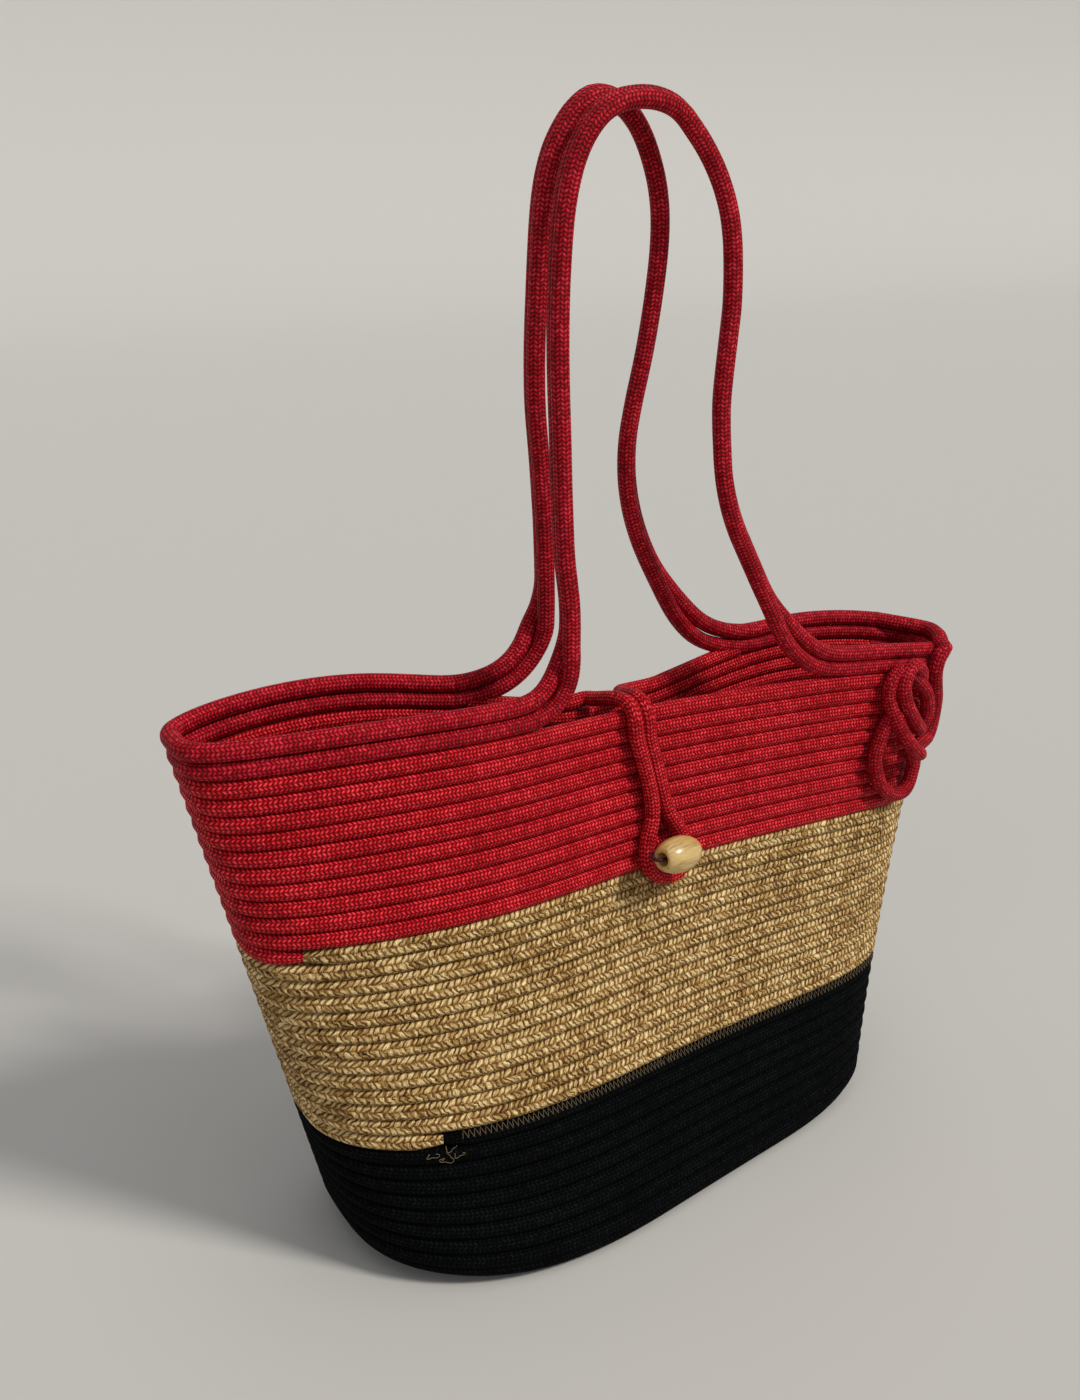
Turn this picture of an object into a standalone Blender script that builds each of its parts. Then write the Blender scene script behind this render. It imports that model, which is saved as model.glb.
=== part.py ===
"""Rope beach bag: one braided rope coiled and stitched into an oval base and flaring walls,
two shoulder handles made of the top two turns of the rope, a toggle loop, a wooden bead
on a cord and a rope rosette. Metres, +Z up, +X along the bag, front face towards -Y."""

import math

import bmesh
import bpy
import numpy as np
from mathutils import Matrix, Vector

# ---------------------------------------------------------------- driving sizes
ROPE = 0.008                 # rope diameter, and so the height of one turn
COLUMNS = 44                 # sections round one turn
TURNS_BLACK = 11             # turns stitched in each colour
TURNS_JUTE = 12
TURNS_RED_WALL = 10.5        # the two turns above these are the rim and the handles
RIM_HEIGHT = 0.280           # along the wall, from the base to the rim
STEP_ANGLE = math.radians(214.2)

BASE_HALF_LENGTH = 0.154
RIM_HALF_LENGTH = 0.212
BASE_HALF_DEPTH = 0.076
RIM_HALF_DEPTH = 0.033
DEPTH_CURVE = 1.9
BASE_SQUARENESS = 2.8
RIM_SQUARENESS = 3.4
EDGE_RADIUS = 0.012
PINCH_FRONT = 0.63
PINCH_REAR = 0.47
PINCH_WIDTH = 0.088
PINCH_CURVE = 2.1
REAR_DIP = 0.018
FRONT_DIP_SHARE = 0.3
RIM_END_DROP = 0.009
BASE_END_LIFT = 0.007
RIM_SLOPE = 0.065
RIM_SHIFT = -0.006
FRONT_SWAY = 0.007

SEAM_GAP = 0.00015           # half the gap between pieces stitched together
END_GAP = 0.0003             # from the end of one rope piece to the next
ROOT_GAP = 0.0016            # a handle's rope ends this far short of the rim
BASE_GAP = (0.0004, 0.0018)  # base plate to the wall round it, at its under and upper edge
GROOVE = 0.0022              # depth of the groove between two turns
TUBE = 0.00355               # radius of a rope that lies against another
ROPE_SIDES = 8
RING_SPACING = 0.0100

ROOT_LEAD = 0.0030           # a handle leaves the rim straight for this far
HANDLE_SPREAD = 0.0044       # half the distance between the two ropes of a handle
TWIST_START_Z = 0.276        # a handle's ropes turn side by side above this height
TWIST_RISE = 0.090
LEAN = Vector((0.505, 0.863, 0))
TOP_ROPE_SHOWS = 0.15
LOOP_RADIUS = 0.0035
PETAL_RADIUS = 0.0036
RESTING = 0.0004             # a rope that lies on the wall clears it by this
BEAD_LENGTH = 0.023
BEAD_RADIUS = 0.0086
BEAD_END_RADIUS = 0.0052
BORE_RADIUS = 0.0033
TIE_RADIUS = 0.00095
BEAD_CENTRE = Vector((0.0039, -0.0458, 0.1879))
BEAD_AXIS = Vector((0.970, 0.2135, -0.1125)).normalized()


def clear_scene():
    for old in list(bpy.data.objects):
        bpy.data.objects.remove(old)


def material(name, colour, rough):
    made = bpy.data.materials.new(name)
    made.use_nodes = True
    shader = made.node_tree.nodes["Principled BSDF"]
    shader.inputs["Base Color"].default_value = (*colour, 1)
    shader.inputs["Roughness"].default_value = rough
    return made


def finish(name, bm, slot, origin=(0, 0, 0)):
    """Makes the object, with its origin where its joint is."""
    bmesh.ops.remove_doubles(bm, verts=bm.verts, dist=1e-7)
    bmesh.ops.recalc_face_normals(bm, faces=bm.faces)
    mesh = bpy.data.meshes.new(name)
    bm.to_mesh(mesh)
    bm.free()
    mesh.transform(Matrix.Translation(-Vector(origin)))
    made = bpy.data.objects.new(name, mesh)
    made.location = origin
    made.data.materials.append(slot)
    bpy.context.scene.collection.objects.link(made)


def clamp(value, low, high):
    return min(max(value, low), high)


# ---------------------------------------------------------------- the shape of the wall
def outside(angle, height):
    """Point on the outer face at a plan angle and a height measured along the wall."""
    t = height / RIM_HEIGHT
    c, s = math.cos(angle), math.sin(angle)
    narrowing = max(1 - t, 0) ** DEPTH_CURVE
    roll = clamp(height / EDGE_RADIUS, 0, math.pi / 2)
    inset = EDGE_RADIUS * (1 - math.sin(roll))
    half_x = BASE_HALF_LENGTH + (RIM_HALF_LENGTH - BASE_HALF_LENGTH) * t - inset
    half_y = RIM_HALF_DEPTH + (BASE_HALF_DEPTH - RIM_HALF_DEPTH) * narrowing - inset
    if height < EDGE_RADIUS * math.pi / 2:
        z = EDGE_RADIUS * (1 - math.cos(roll))
    else:
        z = EDGE_RADIUS + height - EDGE_RADIUS * math.pi / 2
    square = BASE_SQUARENESS + (RIM_SQUARENESS - BASE_SQUARENESS) * clamp(t, 0, 1)
    x = half_x * math.copysign(abs(c) ** (2 / square), c)
    y = half_y * math.copysign(abs(s) ** (2 / square), s)
    near = math.exp(-((x / PINCH_WIDTH) ** 2)) * max(t, 0) ** PINCH_CURVE
    if s < 0:
        y *= 1 - PINCH_FRONT * near
        y += FRONT_SWAY * math.sin(math.pi * clamp(x / half_x, -1, 1))
        z -= FRONT_DIP_SHARE * REAR_DIP * near
    else:
        y *= 1 - PINCH_REAR * near
        z -= REAR_DIP * near
    end = clamp(2 * abs(x) / half_x - 1, 0, 1) ** 2
    z += end * (BASE_END_LIFT * max(1 - t, 0) - RIM_END_DROP * t)
    z -= RIM_SLOPE * x * t
    return Vector((x + RIM_SHIFT * t, y, z))


def even_angles():
    """Plan angles at even distances round the bag, leftwards along the front."""
    steps = 2000
    angles = [STEP_ANGLE - 2 * math.pi * i / steps for i in range(steps + 1)]
    points = [outside(a, 0.6 * RIM_HEIGHT) for a in angles]
    along = [0.0]
    for a, b in zip(points, points[1:]):
        along.append(along[-1] + math.hypot(b.x - a.x, b.y - a.y))
    return np.interp(np.linspace(0, along[-1], steps + 1), along, angles)


ANGLES = even_angles()


def angle_at(turn):
    """Plan angle of a place along the rope, counted in turns from the red rope's start."""
    place = (turn % 1.0) * (len(ANGLES) - 1)
    low = int(place)
    return ANGLES[low] + (ANGLES[min(low + 1, len(ANGLES) - 1)] - ANGLES[low]) * (place - low)


def wall_point(turn, height, depth):
    """Point under the outer face by a depth."""
    angle = angle_at(turn)
    sideways = outside(angle - 0.004, height) - outside(angle + 0.004, height)
    upwards = outside(angle, height + 0.0005) - outside(angle, max(height - 0.0005, 0))
    return outside(angle, height) + sideways.cross(upwards).normalized() * depth


def turn_height(turn):
    """Height of the lower side of the rope, 0 where the first turn starts as a taper."""
    return max(ROPE * (TURNS_BLACK - 1 + TURNS_JUTE + turn), 0)


# ---------------------------------------------------------------- coiled bands
def coil_band(name, first, last, slot):
    """One colour of the wall: the rope wound from turn `first` to `last`, turns joined."""
    bm = bmesh.new()
    count = round((last - first) * COLUMNS)
    made = {}

    def vertex(kind, m):
        turn = first + m / COLUMNS
        low = turn_height(turn)
        if kind == "crest" and turn_height(turn + 1) - low < 1e-9:
            kind = "groove"
        if kind == "crest":
            height, depth = (low + turn_height(turn + 1)) / 2, 0.0
        else:
            height, depth = low, GROOVE if kind == "groove" else ROPE
            if low <= 0:
                m %= COLUMNS
            elif m <= COLUMNS:
                height += SEAM_GAP
            elif m >= count:
                height -= SEAM_GAP
        if (kind, m) not in made:
            along = 0.0
            if m == 0 and low > 0:
                along = END_GAP
            if m == count and kind == "crest":
                along = -END_GAP
            made[kind, m] = bm.verts.new(wall_point(turn + along, height, depth))
        return made[kind, m]

    def face(*corners):
        corners = list(dict.fromkeys(corners))
        if len(corners) > 2:
            bm.faces.new(corners)

    for m in range(count):
        g0, g1 = vertex("groove", m), vertex("groove", m + 1)
        c0, c1 = vertex("crest", m), vertex("crest", m + 1)
        h0, h1 = vertex("groove", m + COLUMNS), vertex("groove", m + COLUMNS + 1)
        i0, i1 = vertex("inner", m), vertex("inner", m + 1)
        j0, j1 = vertex("inner", m + COLUMNS), vertex("inner", m + COLUMNS + 1)
        face(g0, g1, c1, c0)
        face(c0, c1, h1, h0)
        face(i0, j0, j1, i1)
        if m < COLUMNS:
            face(g0, i0, i1, g1)
        if m >= count - COLUMNS:
            face(h0, h1, j1, j0)
    face(vertex("groove", 0), vertex("crest", 0), vertex("groove", COLUMNS),
         vertex("inner", COLUMNS), vertex("inner", 0))
    face(vertex("groove", count), vertex("inner", count), vertex("inner", count + COLUMNS),
         vertex("groove", count + COLUMNS), vertex("crest", count))
    finish(name, bm, slot)


def base_plate(slot):
    """The flat coil under the bag, flat in the middle and lifted a little at its ends."""
    bm = bmesh.new()
    edges = []
    for depth, gap in zip((0.0, ROPE), BASE_GAP):
        ring = [wall_point(k / COLUMNS, 0.0, depth) for k in range(COLUMNS)]
        inset = []
        for k, p in enumerate(ring):
            sideways = ring[(k + 1) % COLUMNS] - ring[k - 1]
            inwards = Vector((-sideways.y, sideways.x, 0)).normalized()
            if inwards.dot(p) > 0:
                inwards = -inwards
            inset.append(p + inwards * gap)
        edges.append(inset)
    sides = []
    for level, ring in enumerate(edges):
        rings = []
        for share in (1.0, 0.84, 0.67, 0.5):
            loop = []
            for p in ring:
                x, y = p.x * share, p.y * share
                end = clamp(2 * abs(x) / (BASE_HALF_LENGTH - EDGE_RADIUS) - 1, 0, 1)
                z = p.z if share == 1.0 else end ** 2 * BASE_END_LIFT + level * ROPE
                loop.append(bm.verts.new((x, y, z)))
            rings.append(loop)
        sides.append(rings)
        for outer, inner in zip(rings, rings[1:]):
            for k in range(COLUMNS):
                n = (k + 1) % COLUMNS
                bm.faces.new((outer[k], outer[n], inner[n], inner[k]))
        bm.faces.new(rings[-1])
    for k in range(COLUMNS):
        n = (k + 1) % COLUMNS
        bm.faces.new((sides[0][0][k], sides[0][0][n], sides[1][0][n], sides[1][0][k]))
    finish("base_coil", bm, slot)


# ---------------------------------------------------------------- ropes
def smooth_path(points, spacing=RING_SPACING):
    """Evenly spaced points on a smooth curve through hand-placed ones."""
    pts = [Vector(p) for p in points]
    pts = [2 * pts[0] - pts[1]] + pts + [2 * pts[-1] - pts[-2]]
    fine = []
    for a, b, c, d in zip(pts, pts[1:], pts[2:], pts[3:]):
        for k in range(12):
            t = k / 12
            fine.append(0.5 * (2 * b + (c - a) * t + (2 * a - 5 * b + 4 * c - d) * t ** 2
                               + (3 * b - a - 3 * c + d) * t ** 3))
    fine.append(pts[-2].copy())
    along = [0.0]
    for a, b in zip(fine, fine[1:]):
        along.append(along[-1] + (b - a).length)
    even = np.linspace(0, along[-1], max(int(round(along[-1] / spacing)), 2) + 1)
    return [Vector([float(np.interp(e, along, [p[k] for p in fine])) for k in range(3)])
            for e in even]


def lifted(path, least):
    """The path with each point moved out until it is at least this far off the wall."""
    moved = []
    for p in path:
        turn, height, step_t, step_h = 0.0, clamp(p.z, 0.01, RIM_HEIGHT), 0.5, 0.024
        for _ in range(8):
            tries = [(turn + a * step_t / 6, clamp(height + b * step_h / 3, 0, 0.3))
                     for a in range(-6, 7) for b in range(-3, 4)]
            turn, height = min(tries, key=lambda q: (outside(angle_at(q[0]), q[1]) - p).length)
            step_t, step_h = step_t / 4, step_h / 2.5
        foot = wall_point(turn, height, 0.0)
        normal = (foot - wall_point(turn, height, 0.001)).normalized()
        moved.append(p + normal * max(least - (p - foot).dot(normal), 0))
    return moved


def rope(name, path, radius, slot, sides=ROPE_SIDES, origin=(0, 0, 0), gap=END_GAP):
    """A rope as a tube with flat ends, each a small gap short of the path's end."""
    path = [p.copy() for p in path]
    path[0] += (path[1] - path[0]).normalized() * gap
    path[-1] += (path[-2] - path[-1]).normalized() * gap
    bm = bmesh.new()
    side = None
    rings = []
    for i, p in enumerate(path):
        along = (path[min(i + 1, len(path) - 1)] - path[max(i - 1, 0)]).normalized()
        if side is None:
            side = along.orthogonal()
        side = (side - along * side.dot(along)).normalized()
        other = along.cross(side)
        turns = [2 * math.pi * k / sides for k in range(sides)]
        rings.append([bm.verts.new(p + radius * (math.cos(a) * side + math.sin(a) * other))
                      for a in turns])
    for low, high in zip(rings, rings[1:]):
        for k in range(sides):
            n = (k + 1) % sides
            bm.faces.new((low[k], low[n], high[n], high[k]))
    bm.faces.new(rings[0][::-1])
    bm.faces.new(rings[-1])
    finish(name, bm, slot, origin)


def rim_path(first, last):
    """Centre of the rope lying on the wall between two turns."""
    count = max(int((last - first) * COLUMNS * 1.6), 3)
    turns = [first + (last - first) * k / count for k in range(count + 1)]
    return [wall_point(t, turn_height(t) + ROPE / 2, ROPE / 2) for t in turns]


def turn_where(x, start, front):
    """The turn within one round from `start` where the rope passes a place along the bag."""
    steps = 800
    best = None
    for k in range(steps):
        turn = start + k / steps
        p = outside(angle_at(turn), turn_height(turn))
        on_front = math.sin(angle_at(turn)) < 0
        if on_front == front and (best is None or abs(p.x - x) < best[0]):
            best = (abs(p.x - x), turn)
    return best[1]


def handle_ropes(points, starts, ends):
    """The two ropes of a handle: one over the other at the rim, side by side above it."""
    first, last = [(a[0] + b[0]) / 2 for a, b in (starts, ends)]
    second, next_to_last = [(a[1] + b[1]) / 2 for a, b in (starts, ends)]
    middle = smooth_path([first, second] + [Vector(p) for p in points] + [next_to_last, last])
    paths = [[], []]
    for i, p in enumerate(middle):
        along = (middle[min(i + 1, len(middle) - 1)] - middle[max(i - 1, 0)]).normalized()
        over = along.cross(Vector((0, 1, 0))).normalized()
        share = clamp((p.z - TWIST_START_Z) / TWIST_RISE, 0, 1)
        share = share * share * (3 - 2 * share)
        way = over * (1 - share) + (LEAN + over * TOP_ROPE_SHOWS) * share
        way = (way - along * way.dot(along)).normalized()
        paths[0].append(p - way * HANDLE_SPREAD)
        paths[1].append(p + way * HANDLE_SPREAD)
    for k in (0, 1):
        paths[k] = [*starts[k]] + paths[k][1:-1] + [*reversed(ends[k])]
    return paths


# ---------------------------------------------------------------- free ropes, hand-placed
FRONT_HANDLE = [
    (-0.0520, -0.0198, 0.2635), (-0.0475, -0.0196, 0.2695), (-0.0443, -0.0194, 0.279),
    (-0.0410, -0.0188, 0.2935), (-0.0410, -0.0180, 0.312), (-0.0430, -0.0170, 0.330),
    (-0.0440, -0.0158, 0.356), (-0.0445, -0.0145, 0.384), (-0.0450, -0.0132, 0.412),
    (-0.0445, -0.0121, 0.437), (-0.0428, -0.0110, 0.460), (-0.0405, -0.0102, 0.475),
    (-0.0365, -0.0098, 0.489), (-0.0305, -0.0096, 0.500), (-0.0230, -0.0095, 0.5075),
    (-0.0120, -0.0094, 0.512), (0.0010, -0.0094, 0.5125), (0.0120, -0.0094, 0.5095),
    (0.0220, -0.0096, 0.501), (0.0320, -0.0099, 0.4890), (0.0399, -0.0103, 0.474),
    (0.0439, -0.0109, 0.458), (0.0451, -0.0117, 0.433), (0.0430, -0.0125, 0.412),
    (0.0411, -0.0132, 0.390), (0.0419, -0.0138, 0.373), (0.0442, -0.0145, 0.354),
    (0.0503, -0.0151, 0.335), (0.0608, -0.0158, 0.315), (0.0730, -0.0166, 0.2934),
    (0.0850, -0.0172, 0.2765), (0.0950, -0.0176, 0.2655), (0.1030, -0.0178, 0.2590),
]
REAR_HANDLE = [
    (-0.0600, 0.0200, 0.2705), (-0.0526, 0.0200, 0.2725), (-0.0440, 0.0198, 0.2765),
    (-0.0370, 0.0193, 0.284), (-0.0330, 0.0188, 0.294), (-0.0315, 0.0182, 0.306),
    (-0.0322, 0.0175, 0.321), (-0.0336, 0.0166, 0.340), (-0.0365, 0.0153, 0.367),
    (-0.0395, 0.0141, 0.391), (-0.0405, 0.0131, 0.414), (-0.0403, 0.0122, 0.436),
    (-0.0398, 0.0113, 0.457), (-0.0388, 0.0106, 0.474), (-0.0358, 0.0101, 0.489),
    (-0.0305, 0.0098, 0.500), (-0.0240, 0.0096, 0.508), (-0.0165, 0.0095, 0.513),
    (-0.0085, 0.0095, 0.5135), (0.0005, 0.0096, 0.5095), (0.0088, 0.0099, 0.501),
    (0.0155, 0.0104, 0.489), (0.0205, 0.0111, 0.474), (0.0222, 0.0120, 0.456),
    (0.0210, 0.0134, 0.433), (0.0182, 0.0148, 0.410), (0.0145, 0.0162, 0.389),
    (0.0122, 0.0174, 0.370), (0.0135, 0.0186, 0.351), (0.0192, 0.0200, 0.331),
    (0.0295, 0.0213, 0.310), (0.0440, 0.0226, 0.289), (0.0580, 0.0236, 0.2735),
    (0.0740, 0.0244, 0.262),
]
BRIDGE_LEFT = [
    (-0.0130, 0.0165, 0.2490), (-0.0092, 0.0130, 0.2520), (-0.0070, 0.0060, 0.2555),
    (-0.0060, -0.0030, 0.2570), (-0.0055, -0.0090, 0.2562), (-0.0052, -0.0130, 0.2545),
]
BRIDGE_RIGHT = [
    (0.0160, 0.0165, 0.2480), (0.0105, 0.0130, 0.2515), (0.0062, 0.0060, 0.2550),
    (0.0042, -0.0030, 0.2570), (0.0034, -0.0090, 0.2562), (0.0031, -0.0130, 0.2545),
]
TONGUE_LEFT = [
    (-0.0052, -0.0130, 0.2545), (-0.0050, -0.0165, 0.2530), (-0.0049, -0.0200, 0.2480),
    (-0.0043, -0.0213, 0.239), (-0.0020, -0.0227, 0.2295), (0.0006, -0.0243, 0.2185),
    (0.0020, -0.0259, 0.209), (0.0020, -0.0270, 0.202),
]
TONGUE_RIGHT = [
    (0.0031, -0.0130, 0.2545), (0.0028, -0.0165, 0.2530), (0.0036, -0.0198, 0.2480),
    (0.0052, -0.0208, 0.238), (0.0078, -0.0222, 0.228), (0.0095, -0.0239, 0.217),
    (0.0108, -0.0256, 0.208), (0.0122, -0.0266, 0.202),
]
LOOP_EYE = [
    (0.0020, -0.0270, 0.202), (0.0008, -0.0281, 0.196), (-0.0025, -0.0297, 0.1895),
    (-0.0040, -0.0314, 0.182), (-0.0032, -0.0327, 0.1755), (0.0015, -0.0333, 0.1705),
    (0.0095, -0.0333, 0.1677), (0.0180, -0.0328, 0.1680), (0.0240, -0.0320, 0.1720),
    (0.0252, -0.0308, 0.1785), (0.0225, -0.0295, 0.1850), (0.0175, -0.0282, 0.1915),
    (0.0140, -0.0272, 0.1970), (0.0122, -0.0266, 0.202),
]
TIE_CORD = [
    (0.0072, -0.0273, 0.1820), (0.0068, -0.0310, 0.1828), (0.0035, -0.0340, 0.1842),
    (-0.0010, -0.0362, 0.1860), (-0.0060, -0.0388, 0.1874), (-0.0098, -0.0430, 0.1888),
    (-0.0106, -0.0470, 0.1894), (-0.0090, -0.0488, 0.1893), (-0.0060, -0.0480, 0.1890),
    (0.0039, -0.0458, 0.1879), (0.0138, -0.0436, 0.1868), (0.0172, -0.0427, 0.1863),
    (0.0187, -0.0400, 0.1858), (0.0175, -0.0362, 0.1850), (0.0140, -0.0330, 0.1840),
    (0.0112, -0.0305, 0.1830), (0.0106, -0.0272, 0.1822),
]
TAIL_ROPE = [
    (0.2030, 0.0000, 0.2540), (0.2070, -0.0060, 0.2520), (0.2070, -0.0100, 0.2460),
    (0.2050, -0.0120, 0.2390), (0.2025, -0.0140, 0.2310), (0.2005, -0.0155, 0.2250),
]
UPPER_PETAL = [
    (0.1765, -0.0262, 0.2395), (0.1730, -0.0285, 0.2450), (0.1650, -0.0300, 0.2470),
    (0.1575, -0.0310, 0.2415), (0.1560, -0.0320, 0.2340), (0.1600, -0.0335, 0.2235),
    (0.1680, -0.0335, 0.2145), (0.1760, -0.0310, 0.2085),
]
RIGHT_PETAL = [
    (0.1745, -0.0245, 0.2300), (0.1850, -0.0235, 0.2215), (0.1930, -0.0195, 0.2140),
    (0.1955, -0.0155, 0.2060), (0.1925, -0.0165, 0.1975), (0.1860, -0.0205, 0.1915),
]
MIDDLE_PETAL = [
    (0.1440, -0.0270, 0.2380), (0.1445, -0.0280, 0.2290), (0.1480, -0.0300, 0.2190),
    (0.1540, -0.0335, 0.2100), (0.1610, -0.0370, 0.2020), (0.1690, -0.0370, 0.1950),
    (0.1740, -0.0355, 0.1910),
]
LOWER_PETAL = [
    (0.1460, -0.0282, 0.2060), (0.1425, -0.0293, 0.1980), (0.1440, -0.0299, 0.1900),
    (0.1495, -0.0303, 0.1815), (0.1580, -0.0299, 0.1755), (0.1670, -0.0286, 0.1740),
    (0.1735, -0.0268, 0.1775), (0.1760, -0.0256, 0.1850),
]
FRONT_LEFT_X, FRONT_RIGHT_X = -0.060, 0.112
REAR_LEFT_X, REAR_RIGHT_X = -0.074, 0.092


# ---------------------------------------------------------------- bead
def bead(slot):
    """A turned barrel with a straight bore."""
    bm = bmesh.new()
    sides = 24
    profile = []
    rows = 8
    for k in range(rows + 1):
        place = 2 * k / rows - 1
        bulge = math.sqrt(1 - (place * 0.8) ** 2)
        edge = math.sqrt(1 - 0.8 ** 2)
        share = (bulge - edge) / (1 - edge)
        profile.append((place * BEAD_LENGTH / 2,
                        BEAD_END_RADIUS + (BEAD_RADIUS - BEAD_END_RADIUS) * share))
    profile += [(BEAD_LENGTH / 2 - 0.0002, BORE_RADIUS), (-BEAD_LENGTH / 2 + 0.0002, BORE_RADIUS)]
    across = BEAD_AXIS.orthogonal().normalized()
    other = BEAD_AXIS.cross(across)
    rings = []
    for along, radius in profile:
        turns = [2 * math.pi * k / sides for k in range(sides)]
        rings.append([bm.verts.new(BEAD_CENTRE + BEAD_AXIS * along + radius
                                   * (math.cos(a) * across + math.sin(a) * other))
                      for a in turns])
    for i, low in enumerate(rings):
        high = rings[(i + 1) % len(rings)]
        for k in range(sides):
            n = (k + 1) % sides
            bm.faces.new((low[k], low[n], high[n], high[k]))
    finish("wooden_bead", bm, slot, BEAD_CENTRE)


# ---------------------------------------------------------------- build
def build():
    clear_scene()
    black = material("black_rope", (0.012, 0.012, 0.014), 0.8)
    jute = material("jute_rope", (0.50, 0.33, 0.14), 0.8)
    red = material("red_rope", (0.42, 0.01, 0.025), 0.7)
    wood = material("bead_wood", (0.72, 0.48, 0.22), 0.3)
    cord = material("tie_cord", (0.20, 0.01, 0.02), 0.7)

    base_plate(black)
    coil_band("black_wall_coil", -TURNS_JUTE - TURNS_BLACK, -TURNS_JUTE, black)
    coil_band("jute_wall_coil", -TURNS_JUTE, 0, jute)
    coil_band("red_wall_coil", 0, TURNS_RED_WALL, red)

    lower, upper = TURNS_RED_WALL, TURNS_RED_WALL + 1
    places = {}
    for row, start in (("lower", lower), ("upper", upper)):
        places["front_right", row] = turn_where(FRONT_RIGHT_X, start, True)
        places["front_left", row] = turn_where(FRONT_LEFT_X, start, True)
        places["rear_left", row] = turn_where(REAR_LEFT_X, start, False)
        places["rear_right", row] = turn_where(REAR_RIGHT_X, start, False)
    paths = {
        "rim_front_right_lower": rim_path(lower, places["front_right", "lower"]),
        "rim_left_lower": rim_path(places["front_left", "lower"], places["rear_left", "lower"]),
        "rim_right_wrap": rim_path(places["rear_right", "lower"], places["front_right", "upper"]),
        "rim_left_upper": rim_path(places["front_left", "upper"], places["rear_left", "upper"]),
        "rim_rear_right_upper": rim_path(places["rear_right", "upper"], upper + 0.97),
    }
    for name, path in paths.items():
        rope(name, path, TUBE, red)

    def onwards(name, end):
        """Where a rim rope ends, and a point straight on from it."""
        path = paths[name]
        last, before = (path[0], path[1]) if end == 0 else (path[-1], path[-2])
        return last, last + (last - before).normalized() * ROOT_LEAD

    front_left = (onwards("rim_left_lower", 0), onwards("rim_left_upper", 0))
    front_right = (onwards("rim_front_right_lower", 1), onwards("rim_right_wrap", 1))
    rear_left = (onwards("rim_left_lower", 1), onwards("rim_left_upper", 1))
    rear_right = (onwards("rim_right_wrap", 0), onwards("rim_rear_right_upper", 0))
    for side, points, starts, ends in (("front", FRONT_HANDLE, front_left, front_right),
                                       ("rear", REAR_HANDLE, rear_left, rear_right)):
        root = (starts[0][0] + starts[1][0]) / 2
        inner, outer = handle_ropes(points, starts, ends)
        rope(side + "_handle_inner_rope", inner, TUBE, red, origin=root, gap=ROOT_GAP)
        rope(side + "_handle_outer_rope", outer, TUBE, red, origin=root, gap=ROOT_GAP)

    rear_pin = Vector(BRIDGE_LEFT[0])
    fold = Vector((0, BRIDGE_LEFT[-1][1], BRIDGE_LEFT[-1][2]))
    for side, bridge, tongue in (("left", BRIDGE_LEFT, TONGUE_LEFT),
                                 ("right", BRIDGE_RIGHT, TONGUE_RIGHT)):
        rope("loop_bridge_" + side, smooth_path(bridge, 0.004), LOOP_RADIUS, red,
             origin=rear_pin)
        path = smooth_path(tongue, 0.005)
        rope("loop_tongue_" + side, path[:3] + lifted(path[3:], LOOP_RADIUS + RESTING),
             LOOP_RADIUS, red, origin=fold)
    rope("loop_eye", lifted(smooth_path(LOOP_EYE, 0.004), LOOP_RADIUS + RESTING),
         LOOP_RADIUS, red, origin=fold)
    rope("bead_tie_cord", smooth_path(TIE_CORD, 0.0025), TIE_RADIUS, cord, sides=6,
         origin=BEAD_CENTRE)
    bead(wood)

    corner = onwards("rim_rear_right_upper", 1)
    tail = smooth_path([*corner] + TAIL_ROPE, 0.006)
    rope("rosette_tail", tail[:3] + lifted(tail[3:], PETAL_RADIUS + RESTING),
         PETAL_RADIUS, red)
    for name, points in (("upper", UPPER_PETAL), ("right", RIGHT_PETAL),
                         ("middle", MIDDLE_PETAL), ("lower", LOWER_PETAL)):
        path = lifted(smooth_path(points, 0.005), PETAL_RADIUS + RESTING)
        rope("rosette_" + name + "_petal", path, PETAL_RADIUS, red)


build()
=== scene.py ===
"""A rope beach bag: one braided rope coiled and stitched into an oval base and flaring walls,
two shoulder handles drawn from its top turns, a closing loop, a wooden bead and a rosette."""

import math

import bmesh
import bpy
import numpy as np
from mathutils import Matrix, Vector


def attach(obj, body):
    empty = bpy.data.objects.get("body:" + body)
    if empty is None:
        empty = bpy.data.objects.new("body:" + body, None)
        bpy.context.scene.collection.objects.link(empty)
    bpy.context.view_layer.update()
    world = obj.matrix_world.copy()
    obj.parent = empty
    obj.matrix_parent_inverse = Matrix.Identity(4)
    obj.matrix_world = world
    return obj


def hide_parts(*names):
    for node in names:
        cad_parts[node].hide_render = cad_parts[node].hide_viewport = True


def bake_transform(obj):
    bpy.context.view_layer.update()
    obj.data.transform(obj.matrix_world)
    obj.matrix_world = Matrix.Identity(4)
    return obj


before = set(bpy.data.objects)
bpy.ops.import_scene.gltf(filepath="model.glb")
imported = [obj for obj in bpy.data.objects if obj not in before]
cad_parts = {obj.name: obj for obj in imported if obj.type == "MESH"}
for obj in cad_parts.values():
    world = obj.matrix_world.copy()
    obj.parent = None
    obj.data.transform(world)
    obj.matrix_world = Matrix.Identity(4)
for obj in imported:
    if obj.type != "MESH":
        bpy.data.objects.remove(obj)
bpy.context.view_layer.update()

# ------------------------------------------------------------------ camera, floor and light
# The bag stands on a plain pale floor that sweeps up behind it, under a soft sun high on its
# front right, a much weaker light from the left and an even one from above.
FLOOR_SIZE = 18
FLOOR_CENTRE = (3, -3, 0)
SWEEP_HEIGHT = 5
SWEEP_RADIUS = 2.6
camera_data = bpy.data.cameras.new("camera")
camera_data.sensor_width = 36
camera_data.lens = 34.31
camera_data.shift_x = 0.01675
camera_data.shift_y = -0.00377
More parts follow.
